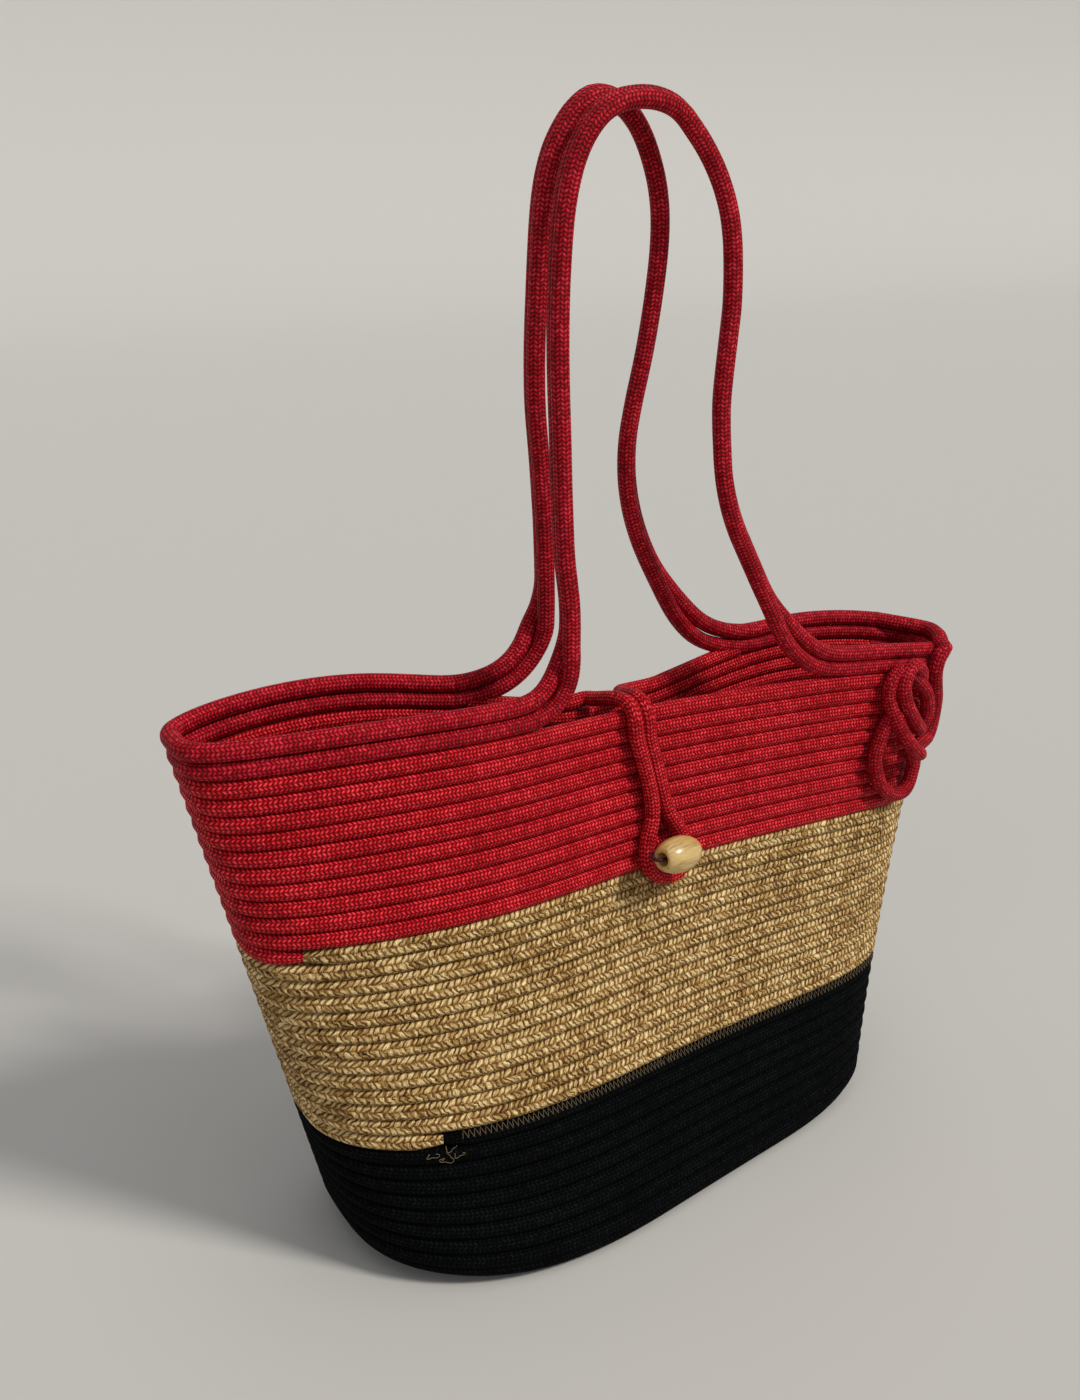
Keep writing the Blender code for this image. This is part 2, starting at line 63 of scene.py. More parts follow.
camera = bpy.data.objects.new("camera", camera_data)
camera.location = (-0.34076, -0.48515, 0.48543)
camera.rotation_euler = (math.radians(68.55), 0, math.radians(-30.33))
bpy.context.scene.collection.objects.link(camera)
bpy.context.scene.camera = camera
bpy.context.scene.view_settings.view_transform = "Standard"

world = bpy.data.worlds.new("studio")
world.use_nodes = True
world.node_tree.nodes["Background"].inputs["Color"].default_value = (0.90, 0.94, 1.0, 1)
world.node_tree.nodes["Background"].inputs["Strength"].default_value = 0.33
bpy.context.scene.world = world


def soft_light(name, comes_from, width, strength, tint):
    """An even light from one side, `width` degrees wide, so that the whole floor gets the same."""
    data = bpy.data.lights.new(name, "SUN")
    data.angle = math.radians(width)
    data.energy = strength
    data.color = tint
    made = bpy.data.objects.new(name, data)
    made.rotation_euler = Vector(comes_from).to_track_quat("Z", "Y").to_euler()
    bpy.context.scene.collection.objects.link(made)


soft_light("key", (0.80, -1.10, 1.45), 11, 2.1, (1.0, 0.97, 0.92))
soft_light("left window", (-1.5, -0.7, 0.95), 30, 0.15, (1.0, 0.98, 0.95))
soft_light("ceiling", (0.1, -0.14, 1.0), 60, 0.6, (1.0, 1.0, 1.0))

bpy.ops.object.select_all(action="DESELECT")
bpy.ops.mesh.primitive_plane_add(size=FLOOR_SIZE, location=FLOOR_CENTRE)
floor = bpy.context.object
floor.name = "floor"
bpy.ops.object.transform_apply(location=True)
back_edge = FLOOR_CENTRE[1] + FLOOR_SIZE / 2 - 0.1
bpy.ops.object.mode_set(mode="EDIT")
bpy.ops.mesh.select_mode(type="EDGE")
bpy.ops.mesh.select_all(action="DESELECT")
sweep = bmesh.from_edit_mesh(floor.data)
for edge in sweep.edges:
    edge.select_set(all(v.co.y > back_edge for v in edge.verts))
bmesh.update_edit_mesh(floor.data)
bpy.ops.mesh.extrude_region_move(TRANSFORM_OT_translate={"value": (0, 0, SWEEP_HEIGHT)})
bpy.ops.mesh.select_all(action="DESELECT")
sweep = bmesh.from_edit_mesh(floor.data)
for edge in sweep.edges:
    edge.select_set(all(v.co.y > back_edge and v.co.z < 0.1 for v in edge.verts))
bmesh.update_edit_mesh(floor.data)
bpy.ops.mesh.bevel(offset=SWEEP_RADIUS, segments=24)
bpy.ops.object.mode_set(mode="OBJECT")
bpy.ops.object.shade_smooth()
floor_finish = bpy.data.materials.new("pale floor")
floor_finish.use_nodes = True
floor_shader = floor_finish.node_tree.nodes["Principled BSDF"]
floor_shader.inputs["Base Color"].default_value = (0.52, 0.505, 0.475, 1)
floor_shader.inputs["Roughness"].default_value = 0.9
floor.data.materials.append(floor_finish)

# ------------------------------------------------------------------ black base
# The rope starts in the middle of the base and winds outwards, flat on the ground, each turn
# zigzag stitched to the last. At the edge it rolls up into the wall without a break.
# Turns are counted from the start of the red rope, and each adds one rope to the wall.
ROPE = 0.008
FIRST_BLACK = -30.0
BASE_LEAVES = -22.5
FIRST_JUTE = -12.033
FIRST_RED = 0.0
TOP_OF_WALL = 10.5
RED_ROW = 22
TURN_LENGTH = 0.87
TURNS_START_AT = 214.2
WALL_HEIGHT = 0.280
EDGE_ROLL = 0.012
BASE_HALF_LENGTH, RIM_HALF_LENGTH = 0.154, 0.212
BASE_HALF_DEPTH, RIM_HALF_DEPTH = 0.076, 0.033
PINCH_WIDTH, FRONT_PINCH, REAR_PINCH = 0.088, 0.63, 0.47
REAR_DIP, FRONT_DIP_SHARE = 0.018, 0.3
END_LIFT, END_DROP = 0.007, 0.009
RIM_SLOPE, RIM_SHIFT, FRONT_SWAY = 0.065, 0.006, 0.007
WALL_TALL, WALL_DEEP = 0.0042, 0.0040


def outside(angle, height):
    """Outer face of the bag at a plan angle and a height along the wall, below 0 on the base."""
    t = np.maximum(height, 0) / WALL_HEIGHT
    c, s = np.cos(angle), np.sin(angle)
    roll = np.clip(height / EDGE_ROLL, 0, math.pi / 2)
    inset = EDGE_ROLL * (1 - np.sin(roll)) + np.maximum(-height, 0)
    half_x = BASE_HALF_LENGTH + (RIM_HALF_LENGTH - BASE_HALF_LENGTH) * t - inset
    half_y = RIM_HALF_DEPTH - inset
    half_y = half_y + (BASE_HALF_DEPTH - RIM_HALF_DEPTH) * np.maximum(1 - t, 0) ** 1.9
    rolled = EDGE_ROLL * math.pi / 2
    z = np.where(height < rolled, EDGE_ROLL * (1 - np.cos(roll)), EDGE_ROLL + height - rolled)
    square = 2.8 + 0.6 * np.clip(t, 0, 1) - 0.8 * np.clip(-height / 0.06, 0, 1)
    x = half_x * np.sign(c) * np.abs(c) ** (2 / square)
    y = half_y * np.sign(s) * np.abs(s) ** (2 / square)
    near = np.exp(-((x / PINCH_WIDTH) ** 2)) * t ** 2.1
    front = s < 0
    y = y * np.where(front, 1 - FRONT_PINCH * near, 1 - REAR_PINCH * near)
    y = y + np.where(front, FRONT_SWAY, 0) * np.sin(math.pi * np.clip(x / half_x, -1, 1))
    z = z - np.where(front, FRONT_DIP_SHARE, 1.0) * REAR_DIP * near
    end = np.clip(2 * np.abs(x) / (half_x + np.maximum(-height, 0)) - 1, 0, 1) ** 2
    z = z + end * (END_LIFT * np.maximum(1 - t, 0) - END_DROP * t) - RIM_SLOPE * x * t
    return np.stack([x - RIM_SHIFT * t, y, z], axis=-1)


RING_STEPS = 2000
around = np.radians(TURNS_START_AT) - 2 * math.pi * np.arange(RING_STEPS + 1) / RING_STEPS
ring = outside(around, np.full(RING_STEPS + 1, 0.6 * WALL_HEIGHT))
along_ring = np.concatenate([[0], np.cumsum(np.hypot(*np.diff(ring[:, :2], axis=0).T))])
even_angles = np.interp(np.linspace(0, along_ring[-1], RING_STEPS + 1), along_ring, around)


def plan_angle(turn):
    """Plan angle of a turn count, so that equal parts of a turn are equal lengths of rope."""
    return np.interp((turn % 1.0) * RING_STEPS, np.arange(RING_STEPS + 1), even_angles)


def wound(turn, height, depth):
    """Places under the outer face, and the way outwards there."""
    angle = plan_angle(turn)
    step = 0.0005
    sideways = outside(angle - 0.004, height) - outside(angle + 0.004, height)
    upwards = outside(angle, height + step) - outside(angle, height - step)
    inwards = np.cross(sideways, upwards)
    inwards /= np.linalg.norm(inwards, axis=1)[:, None]
    return outside(angle, height) + inwards * depth, -inwards


def row_line(first, last, spacing=0.003):
    """Middle line of the rope from one turn to another, and the way outwards along it."""
    count = max(int(abs(last - first) * TURN_LENGTH / spacing), 2)
    turns = np.linspace(first, last, count + 1)
    places, out = wound(turns, ROPE * (RED_ROW + turns) + ROPE / 2, ROPE / 2)
    return places, out


def ways_along(line):
    """The way the line runs at each of its places, as a unit arrow."""
    tangent = np.gradient(line, axis=0)
    return tangent / np.linalg.norm(tangent, axis=1)[:, None]


TAPER_LENGTH = 0.016
ROUND_END = (28, 52, 72, 84)
STRIP_GAP = 1.08


def rope_piece(name, line, out, tall, deep, start_at=0.0, sides=14, ends=("flat", "flat"),
               tangent=None):
    """A rope round a line, `tall` and `deep` in radius. Its map "rope" runs in metres along it
    and once round it, with 0.5 on the side that faces `out`."""
    if tangent is None:
        tangent = ways_along(line)
    out = out - tangent * np.sum(out * tangent, axis=1)[:, None]
    out /= np.linalg.norm(out, axis=1)[:, None]
    side = np.cross(tangent, out)
    lengths = np.linalg.norm(np.diff(line, axis=0), axis=1)
    along = start_at + np.concatenate([[0], np.cumsum(lengths)])
    swell = np.ones(len(line))
    for end, kind in zip((0, -1), ends):
        if kind == "taper":
            near = np.clip(np.abs(along - along[end]) / TAPER_LENGTH, 0, 1)
            swell = swell * (0.35 + 0.65 * near ** 0.6)
        if kind == "flat":
            continue
        turns = np.radians(ROUND_END)
        onward = 1 if end else -1
        extra = line[end] + tangent[end] * onward * (tall * np.sin(turns))[:, None]
        reach = along[end] + onward * tall * np.sin(turns)
        less = np.cos(turns) * swell[end]
        rows = [np.repeat(v[end][None], 4, axis=0) for v in (out, side)]
        if end == 0:
            line, along, swell = (np.concatenate([a[::-1], b]) for a, b in
                                  ((extra, line), (reach, along), (less, swell)))
            out = np.concatenate([rows[0], out])
            side = np.concatenate([rows[1], side])
        else:
            line, along, swell = (np.concatenate([b, a]) for a, b in
                                  ((extra, line), (reach, along), (less, swell)))
            out = np.concatenate([out, rows[0]])
            side = np.concatenate([side, rows[1]])
        tangent = ways_along(line)
    count = len(line)
    turn = 2 * math.pi * np.arange(sides) / sides
    inwards = (deep * swell)[:, None, None] * np.cos(turn)[None, :, None] * out[:, None]
    upwards = (tall * swell)[:, None, None] * np.sin(turn)[None, :, None] * side[:, None]
    points = (line[:, None] - inwards + upwards).reshape(-1, 3)
    i, k = np.meshgrid(np.arange(count - 1), np.arange(sides), indexing="ij")
    n = (k + 1) % sides
    here, ahead = i * sides, (i + 1) * sides
    quads = np.stack([here + k, ahead + k, ahead + n, here + n], axis=-1).reshape(-1, 4)
    first, last = len(points), len(points) + 1
    points = np.concatenate([points, line[:1], line[-1:]])
    ks = np.arange(sides)
    ns = (ks + 1) % sides
    low = np.stack([np.full(sides, first), ks, ns], axis=-1)
    base = (count - 1) * sides
    high = np.stack([np.full(sides, last), base + ns, base + ks], axis=-1)
    mesh = bpy.data.meshes.new(name)
    mesh.from_pydata(points.tolist(), [], quads.tolist() + low.tolist() + high.tolist())
    u_of_quads = np.stack([along[i], along[i + 1], along[i + 1], along[i]], axis=-1).reshape(-1)
    v_of_quads = np.stack([k, k, k + 1, k + 1], axis=-1).reshape(-1) / sides
    u_low = np.full(3 * sides, along[0])
    u_high = np.full(3 * sides, along[-1])
    v_low = np.stack([ks + 0.5, ks, ks + 1], axis=-1).reshape(-1) / sides
    v_high = np.stack([ks + 0.5, ks + 1, ks], axis=-1).reshape(-1) / sides
    u = np.concatenate([u_of_quads, u_low, u_high])
    v = np.concatenate([v_of_quads, v_low, v_high])
    rope_map = mesh.uv_layers.new(name="rope")
    rope_map.data.foreach_set("uv", np.stack([u, v], axis=-1).astype(np.float32).reshape(-1))
    girth = math.pi * (tall + deep)
    length = along[-1] - along[0]
    # The bake map lays the rope out in side by side strips, so that it fills a square.
    strips = max(int(round(math.sqrt(length / girth))), 1)
    edges = np.searchsorted(along, np.linspace(along[0], along[-1], strips + 1)[1:-1])
    strip_of_ring = np.searchsorted(edges, np.arange(count - 1), side="right")
    strip = np.concatenate([np.repeat(strip_of_ring, sides * 4), np.zeros(3 * sides),
                            np.full(3 * sides, strips - 1)]).astype(int)
    starts = np.array([along[0], *along[edges]])
    widest = np.max(np.diff([along[0], *along[edges], along[-1]]))
    scale = 0.98 / max(widest, strips * girth * STRIP_GAP)
    bake = np.stack([0.01 + (u - starts[strip]) * scale,
                     0.01 + (strip * STRIP_GAP + v) * girth * scale], axis=-1)
    bake_map = mesh.uv_layers.new(name="OFBake")
    bake_map.data.foreach_set("uv", bake.astype(np.float32).reshape(-1))
    smooth = np.ones(len(mesh.polygons), bool)
    smooth[len(quads):] = False
    mesh.polygons.foreach_set("use_smooth", smooth)
    mesh.uv_layers.active = rope_map
    mesh.update()
    made = bpy.data.objects.new(name, mesh)
    bpy.context.scene.collection.objects.link(made)
    return made


# The braid that every rope shows: lanes of slanting strands that lean one way and then the
# other round the rope. The group gives masks only, and each rope's finish colours them.
braid = bpy.data.node_groups.new("braided strands", "ShaderNodeTree")
for label, value in (("Lanes", 8.0), ("Raised", 0.0), ("Pitch", 0.004), ("Slope", 0.6),
                     ("Stagger", 0.0), ("Wobble", 0.15), ("Streaks", 7.0)):
    socket = braid.interface.new_socket(label, in_out="INPUT", socket_type="NodeSocketFloat")
    socket.default_value = value
for label in ("Height", "Strand", "Fibre", "Patch"):
    braid.interface.new_socket(label, in_out="OUTPUT", socket_type="NodeSocketFloat")
into = braid.nodes.new("NodeGroupInput")
outof = braid.nodes.new("NodeGroupOutput")


def sum_node(tree, operation, *values):
    """One sum of numbers and other nodes' outputs, in a node tree."""
    node = tree.nodes.new("ShaderNodeMath")
    node.operation = operation
    for place, value in enumerate(values):
        if isinstance(value, (int, float)):
            node.inputs[place].default_value = value
        else:
            tree.links.new(value, node.inputs[place])
    return node.outputs[0]


def noise_node(tree, vector, scale, detail=2.0, rough=0.5):
    """A cloudy pattern from 0 to 1, finer with a larger `scale`."""
    node = tree.nodes.new("ShaderNodeTexNoise")
    node.inputs["Scale"].default_value = scale
    node.inputs["Detail"].default_value = detail
    node.inputs["Roughness"].default_value = rough
    tree.links.new(vector, node.inputs["Vector"])
    return node.outputs["Fac"]


def braid_sum(operation, *values):
    return sum_node(braid, operation, *values)


rope_uv = braid.nodes.new("ShaderNodeUVMap")
rope_uv.uv_map = "rope"
apart = braid.nodes.new("ShaderNodeSeparateXYZ")
braid.links.new(rope_uv.outputs["UV"], apart.inputs[0])
place = braid.nodes.new("ShaderNodeTexCoord").outputs["Object"]
shake = braid_sum("SUBTRACT", noise_node(braid, place, 330), 0.5)
shake = braid_sum("MULTIPLY", shake, into.outputs["Wobble"])
run = braid_sum("ADD", braid_sum("DIVIDE", apart.outputs["X"], into.outputs["Pitch"]),
                braid_sum("MULTIPLY", shake, 4.0))
higher = braid_sum("ADD", apart.outputs["Y"], into.outputs["Raised"])
lane_place = braid_sum("ADD", braid_sum("MULTIPLY", higher, into.outputs["Lanes"]),
                       braid_sum("MULTIPLY", shake, 0.8))
across = braid_sum("FRACT", lane_place)
lane = braid_sum("FLOORED_MODULO", braid_sum("FLOOR", lane_place), into.outputs["Lanes"])
odd = braid_sum("FLOORED_MODULO", lane, 2.0)
lean = braid_sum("SUBTRACT", braid_sum("MULTIPLY", odd, 2.0), 1.0)
slant = braid_sum("MULTIPLY", braid_sum("SUBTRACT", across, 0.5), into.outputs["Slope"])
phase = braid_sum("ADD", run, braid_sum("MULTIPLY", lean, slant))
phase = braid_sum("ADD", phase, braid_sum("MULTIPLY", odd, into.outputs["Stagger"]))
count_of = braid_sum("FLOOR", phase)
inside = braid_sum("SUBTRACT", phase, count_of)
ridge = braid_sum("SINE", braid_sum("MULTIPLY", inside, math.pi))
ridge = braid_sum("POWER", ridge, 0.7)
belly = braid_sum("SINE", braid_sum("MULTIPLY", across, math.pi))
belly = braid_sum("ADD", braid_sum("MULTIPLY", braid_sum("POWER", belly, 0.55), 0.75), 0.25)
# Height is lowest in the gaps between strands and at each lane's edges. The finishes use it for
# relief and also in the colour, as painted shade in those gaps and painted highlight on the
# strands' crowns.
braid.links.new(braid_sum("MULTIPLY", ridge, belly), outof.inputs["Height"])
chance = braid.nodes.new("ShaderNodeTexWhiteNoise")
chance.noise_dimensions = "1D"
which_strand = braid_sum("ADD", count_of, braid_sum("MULTIPLY", lane, 17.31))
braid.links.new(which_strand, chance.inputs["W"])
braid.links.new(chance.outputs["Value"], outof.inputs["Strand"])
fibres = braid.nodes.new("ShaderNodeCombineXYZ")
braid.links.new(braid_sum("MULTIPLY", phase, into.outputs["Streaks"]), fibres.inputs[0])
braid.links.new(braid_sum("MULTIPLY", across, 1.4), fibres.inputs[1])
braid.links.new(braid_sum("MULTIPLY", lane, 5.1), fibres.inputs[2])
streaks = noise_node(braid, fibres.outputs[0], 1.0, 3.0, 0.65)
streaks = braid_sum("MULTIPLY", braid_sum("SUBTRACT", streaks, 0.5), 2.0)
braid.links.new(braid_sum("ADD", streaks, 0.5), outof.inputs["Fibre"])
braid.links.new(noise_node(braid, place, 45, 3.0), outof.inputs["Patch"])


def braid_finish(name, numbers, stops, relief, rough, sheen, tint, gloss=0.3,
                 weights=(0.62, 0.2, 0.18)):
    """A rope's finish: the braid's masks coloured by `stops` and raised by `relief` metres.
    `weights` says how much the strands' height, their chance and their fibres count."""
    made = bpy.data.materials.new(name)
    made.use_nodes = True
    tree = made.node_tree
    shader = tree.nodes["Principled BSDF"]
    group = tree.nodes.new("ShaderNodeGroup")
    group.node_tree = braid
    for label, value in numbers.items():
        group.inputs[label].default_value = value
    # The colour mixes the strands' random tone with their height: painted shade in the gaps
    # between strands and painted highlight on their crowns.
    shade = sum_node(tree, "MULTIPLY", group.outputs["Height"], weights[0])
    for mask, weight in (("Strand", weights[1]), ("Fibre", weights[2])):
        part = sum_node(tree, "MULTIPLY", group.outputs[mask], weight)
        shade = sum_node(tree, "ADD", shade, part)
    patchy = sum_node(tree, "SUBTRACT", group.outputs["Patch"], 0.5)
    shade = sum_node(tree, "ADD", shade, sum_node(tree, "MULTIPLY", patchy, 0.25))
    ramp = tree.nodes.new("ShaderNodeValToRGB")
    ramp.color_ramp.elements[0].position = stops[0][0]
    ramp.color_ramp.elements[0].color = (*stops[0][1], 1)
    ramp.color_ramp.elements[1].position = stops[-1][0]
    ramp.color_ramp.elements[1].color = (*stops[-1][1], 1)
    for where, colour in stops[1:-1]:
        ramp.color_ramp.elements.new(where).color = (*colour, 1)
    tree.links.new(shade, ramp.inputs["Fac"])
    tree.links.new(ramp.outputs["Color"], shader.inputs["Base Color"])
    bump = tree.nodes.new("ShaderNodeBump")
    bump.inputs["Strength"].default_value = 1.0
    bump.inputs["Distance"].default_value = relief
    raised = sum_node(tree, "ADD", group.outputs["Height"],
                      sum_node(tree, "MULTIPLY", group.outputs["Fibre"], 0.35))
    tree.links.new(raised, bump.inputs["Height"])
    tree.links.new(bump.outputs["Normal"], shader.inputs["Normal"])
    shader.inputs["Roughness"].default_value = rough
    shader.inputs["Sheen Weight"].default_value = sheen
    shader.inputs["Sheen Roughness"].default_value = 0.45
    shader.inputs["Specular IOR Level"].default_value = gloss
    shader.inputs["Sheen Tint"].default_value = (*tint, 1)
    return made


# Its darkest stop is painted shade in the gaps between strands, and its faint grey top stop is
# painted highlight on their crowns.
black_rope = braid_finish(
    "black braided rope", {"Lanes": 14, "Pitch": 0.0022, "Slope": 0.7, "Stagger": 0.0,
                           "Wobble": 0.16, "Streaks": 4.0},
    ((0.1, (0.0006, 0.0007, 0.0008)), (0.62, (0.0020, 0.0023, 0.0026)),
     (0.95, (0.009, 0.010, 0.011))), 0.0003, 0.8, 0.0, (0.5, 0.52, 0.55), 0.03)

line, out = row_line(FIRST_BLACK, BASE_LEAVES)
base = rope_piece("base_coil_turns", line, out, WALL_TALL, WALL_DEEP, ends=("round", "flat"))
base.data.materials.append(black_rope)
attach(base, "bag")
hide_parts("base_coil")

# ------------------------------------------------------------------ black wall
# Ten and a half rising turns of the same black rope. They press together a little, so each
# shows as a rounded row with a dark groove over and under it.
line, out = row_line(BASE_LEAVES, FIRST_JUTE)
black_wall = rope_piece("black_wall_turns", line, out, WALL_TALL, WALL_DEEP,
                        ends=("flat", "taper"))
black_wall.data.materials.append(black_rope)
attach(black_wall, "bag")
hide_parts("black_wall_coil")

# ------------------------------------------------------------------ jute wall
# Twelve turns of coarse plaited jute, straw to brown, whose strands cross in a bold row of
# arrowheads along the middle of every turn. Its near black lowest stop is painted shade in the
# gaps between strands, and its pale top stop is painted highlight on their crowns.
jute_rope = braid_finish(
    "plaited jute rope", {"Lanes": 6, "Raised": 0.06, "Pitch": 0.0029, "Slope": 1.0,
                          "Stagger": 0.35, "Wobble": 0.36, "Streaks": 5.5},
    ((0.28, (0.020, 0.008, 0.002)), (0.46, (0.145, 0.064, 0.013)), (0.66, (0.45, 0.245, 0.064)),
     (0.92, (1.0, 0.79, 0.40))), 0.0010, 0.68, 0.0, (0.9, 0.75, 0.5), 0.22, (0.42, 0.18, 0.60))
OVERLAP = 0.008
line, out = row_line(FIRST_JUTE - OVERLAP, FIRST_RED + OVERLAP)
jute_wall = rope_piece("jute_wall_turns", line, out, WALL_TALL, WALL_DEEP,
                       ends=("taper", "taper"))
jute_wall.data.materials.append(jute_rope)
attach(jute_wall, "bag")
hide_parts("jute_wall_coil")

# ------------------------------------------------------------------ red wall
# Ten and a half turns of fine red braid on top of the jute, with lanes of strands along each
# row. The bright specks along the lanes are painted highlight on the strands' crowns, and the
# darkest red stop is painted shade in the gaps between them.
red_rope = braid_finish(
    "red braided rope", {"Lanes": 14, "Raised": 0.04, "Pitch": 0.0019, "Slope": 0.6,
                         "Stagger": 0.0, "Wobble": 0.12, "Streaks": 2.5},
    ((0.10, (0.060, 0.0, 0.0006)), (0.42, (0.24, 0.0003, 0.0026)), (0.68, (0.50, 0.0012, 0.0075)),
     (0.92, (1.0, 0.065, 0.085))), 0.00048, 0.60, 0.0, (1.0, 0.45, 0.5), 0.12, (0.70, 0.18, 0.16))
line, out = row_line(FIRST_RED, TOP_OF_WALL)
red_wall = rope_piece("red_wall_turns", line, out, WALL_TALL, WALL_DEEP, ends=("taper", "flat"))
red_wall.data.materials.append(red_rope)
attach(red_wall, "bag")
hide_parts("red_wall_coil")

# ------------------------------------------------------------------ rim and shoulder handles
# The last two turns of the red rope stay on the wall round both ends of the bag. Over the
# front and over the rear they leave it and rise together as a handle.
# Its darkest stop is painted shade in the gaps between strands, and its lightest is painted
# highlight on their crowns.
handle_rope = braid_finish(
    "red handle rope", {"Lanes": 14, "Pitch": 0.0018, "Slope": 0.55, "Stagger": 0.0,
                        "Wobble": 0.14, "Streaks": 2.5},
    ((0.10, (0.045, 0.0001, 0.0010)), (0.42, (0.18, 0.0006, 0.0035)),
     (0.68, (0.45, 0.0030, 0.0130)),
     (0.96, (0.85, 0.055, 0.085))), 0.00036, 0.62, 0.0, (1.0, 0.4, 0.5), 0.12, (0.60, 0.22, 0.18))
HANDLE_ROPE = 0.0041
FRONT_TWIST = (0.258, 0.040)
REAR_TWIST = (0.262, 0.050)
ROPES_APART = (0.505, 0.863, 0)
ROOT_SMOOTHING = 26
ROOTS = {"front_right": (10.67125, 11.6725), "front_left": (10.85, 11.84875),
         "rear_left": (11.22875, 12.23), "rear_right": (11.39875, 12.3975)}
FRONT_HANDLE = (
    (-0.0520, -0.0198, 0.2635), (-0.0475, -0.0196, 0.2695), (-0.0443, -0.0194, 0.279),
    (-0.0410, -0.0188, 0.2935), (-0.0410, -0.0180, 0.312), (-0.0430, -0.0170, 0.330),
    (-0.0440, -0.0158, 0.356), (-0.0445, -0.0145, 0.384), (-0.0450, -0.0132, 0.412),
    (-0.0445, -0.0121, 0.437), (-0.0428, -0.0110, 0.460), (-0.0405, -0.0102, 0.475),
    (-0.0365, -0.0098, 0.489), (-0.0305, -0.0096, 0.500), (-0.0230, -0.0095, 0.5075),
    (-0.0120, -0.0094, 0.512), (0.0010, -0.0094, 0.5125), (0.0120, -0.0094, 0.5095),
    (0.0220, -0.0096, 0.501), (0.0320, -0.0099, 0.4890), (0.0399, -0.0103, 0.474),
    (0.0439, -0.0109, 0.458), (0.0451, -0.0117, 0.433), (0.0430, -0.0125, 0.412),
    (0.0411, -0.0132, 0.390), (0.0419, -0.0138, 0.373), (0.0442, -0.0145, 0.354),
    (0.0503, -0.0151, 0.335), (0.0608, -0.0158, 0.315), (0.0730, -0.0166, 0.2934),
    (0.0850, -0.0172, 0.2765), (0.0950, -0.0176, 0.2655), (0.1030, -0.0178, 0.2590))
REAR_HANDLE = (
    (-0.0600, 0.0202, 0.2628), (-0.0510, 0.0202, 0.2660), (-0.0430, 0.0199, 0.2725),
    (-0.0368, 0.0194, 0.282), (-0.0330, 0.0188, 0.2935), (-0.0315, 0.0182, 0.306),
    (-0.0322, 0.0175, 0.321), (-0.0336, 0.0166, 0.340), (-0.0365, 0.0153, 0.367),
    (-0.0395, 0.0141, 0.391), (-0.0405, 0.0131, 0.414), (-0.0403, 0.0122, 0.436),
    (-0.0398, 0.0113, 0.457), (-0.0388, 0.0106, 0.474), (-0.0358, 0.0101, 0.489),
    (-0.0305, 0.0098, 0.500), (-0.0240, 0.0096, 0.508), (-0.0165, 0.0095, 0.513),
    (-0.0085, 0.0095, 0.5135), (0.0005, 0.0096, 0.5095), (0.0088, 0.0099, 0.501),
    (0.0155, 0.0104, 0.489), (0.0205, 0.0111, 0.474), (0.0222, 0.0120, 0.456),
    (0.0210, 0.0134, 0.433), (0.0182, 0.0148, 0.410), (0.0145, 0.0162, 0.389),
    (0.0122, 0.0174, 0.370), (0.0135, 0.0186, 0.351), (0.0192, 0.0200, 0.331),
    (0.0295, 0.0213, 0.310), (0.0440, 0.0226, 0.289), (0.0580, 0.0236, 0.2735),
    (0.0740, 0.0244, 0.262))


def smooth_line(points, spacing=0.003):
    """Evenly spaced places on a smooth curve through a few chosen ones."""
    p = np.array(points, float)
    p = np.concatenate([[2 * p[0] - p[1]], p, [2 * p[-1] - p[-2]]])
    t = (np.arange(16) / 16)[None, :, None]
    a, b, c, d = (p[k:len(p) - 3 + k][:, None] for k in range(4))
    fine = 0.5 * (2 * b + (c - a) * t + (2 * a - 5 * b + 4 * c - d) * t ** 2
                  + (3 * b - a - 3 * c + d) * t ** 3)
    fine = np.concatenate([fine.reshape(-1, 3), p[-2:-1]])
    along = np.concatenate([[0], np.cumsum(np.linalg.norm(np.diff(fine, axis=0), axis=1))])
    even = np.linspace(0, along[-1], max(int(round(along[-1] / spacing)), 2) + 1)
    return np.stack([np.interp(even, along, fine[:, k]) for k in range(3)], axis=-1)


def carried(line, first_out, last_out=None):
    """The outward side carried along a line without twist, eased to meet `last_out`."""
    tangent = np.gradient(line, axis=0)
    tangent /= np.linalg.norm(tangent, axis=1)[:, None]
    way = np.array(first_out, float)
    kept = []
    for t in tangent:
        way = way - t * way.dot(t)
        way = way / np.linalg.norm(way)
        kept.append(way)
    kept = np.array(kept)
    if last_out is not None:
        t = tangent[-1]
        goal = np.array(last_out, float)
        goal = goal - t * goal.dot(t)
        goal /= np.linalg.norm(goal)
        off = math.atan2(np.cross(kept[-1], goal).dot(t), kept[-1].dot(goal))
        share = np.linspace(0, 1, len(line))[:, None] * off
        kept = kept * np.cos(share) + np.cross(tangent, kept) * np.sin(share)
    return kept


